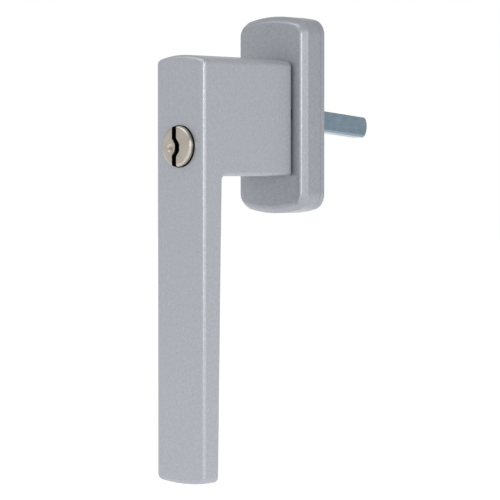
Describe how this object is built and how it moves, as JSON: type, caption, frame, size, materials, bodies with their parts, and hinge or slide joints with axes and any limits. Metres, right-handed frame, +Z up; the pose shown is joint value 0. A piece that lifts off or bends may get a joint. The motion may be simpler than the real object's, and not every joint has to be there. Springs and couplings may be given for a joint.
{
  "type": "tilt turn window handle",
  "caption": "Lockable tilt turn window handle: straight flat lever on a boxy neck, arched oblong rosette, key lock in the neck and a square spindle.",
  "frame": {"origin": "on the spindle axis, at the mounting face of the rosette", "axes": "+X right seen from the room, +Y into the window along the spindle, +Z up; the lever hangs down, closed"},
  "size_m": [0.0312, 0.0921, 0.1559],
  "materials": {
    "silver_paint": "fine silver metallic paint on cast zinc",
    "nickel_plate": "satin nickel plate on brass",
    "blue_zinc": "blue passivated zinc plate on drawn steel",
    "zinc_plated_steel": "clear zinc plate",
    "spring_steel": "oiled spring steel",
    "brass": "turned brass",
    "nylon": "natural nylon"
  },
  "bodies": {
    "base": {"base_plate": "silver_paint", "rear_disc": "zinc_plated_steel", "bearing_bush": "nylon", "lock_plate": "zinc_plated_steel", "lock_plate_screws": "zinc_plated_steel", "detent_spring_left": "spring_steel", "detent_spring_right": "spring_steel"},
    "cover": {"rosette_cover": "silver_paint", "cover_ring": "nylon"},
    "lever": {"grip": "silver_paint", "neck_back_plate": "silver_paint", "back_plate_screws": "zinc_plated_steel", "drive_collar": "zinc_plated_steel", "collar_pin": "silver_paint", "spindle_pin": "spring_steel", "detent_cam": "spring_steel", "thrust_washer": "nylon", "retaining_ring": "spring_steel", "lock_housing": "brass", "housing_pins": "spring_steel", "bolt_guide": "brass"},
    "spindle": {"spindle": "blue_zinc"},
    "plug": {"lock_plug": "nickel_plate", "wafer_tumblers": "brass", "cam_barrel": "brass"},
    "bolt": {"lock_bolt": "zinc_plated_steel", "bolt_cross_pin": "spring_steel"}
  },
  "joints": [
    {"name": "lever_turn", "type": "hinge", "parent": "base", "child": "lever", "pos_m": [0, 0, 0], "axis": [0, 1, 0], "range_deg": [-180, 180], "deforming": ["detent_spring_left", "detent_spring_right"]},
    {"name": "cover_turn", "type": "hinge", "parent": "base", "child": "cover", "pos_m": [0, 0, 0], "axis": [0, 1, 0], "range_deg": [0, 90]},
    {"name": "spindle_float", "type": "hinge", "parent": "lever", "child": "spindle", "pos_m": [0, -0.007, 0], "axis": [1, 0, 0], "range_deg": [0, 9]},
    {"name": "key_turn", "type": "hinge", "parent": "lever", "child": "plug", "pos_m": [0, -0.05, -0.0111], "axis": [0, 1, 0], "range_deg": [0, 90]},
    {"name": "bolt_slide", "type": "slide", "parent": "lever", "child": "bolt", "axis": [0, 1, 0], "range_m": [0, 0.0026]}
  ],
  "couplings": [
    {"joint": "bolt_slide", "follows": "key_turn", "m_per_rad": 0.0016552}
  ]
}
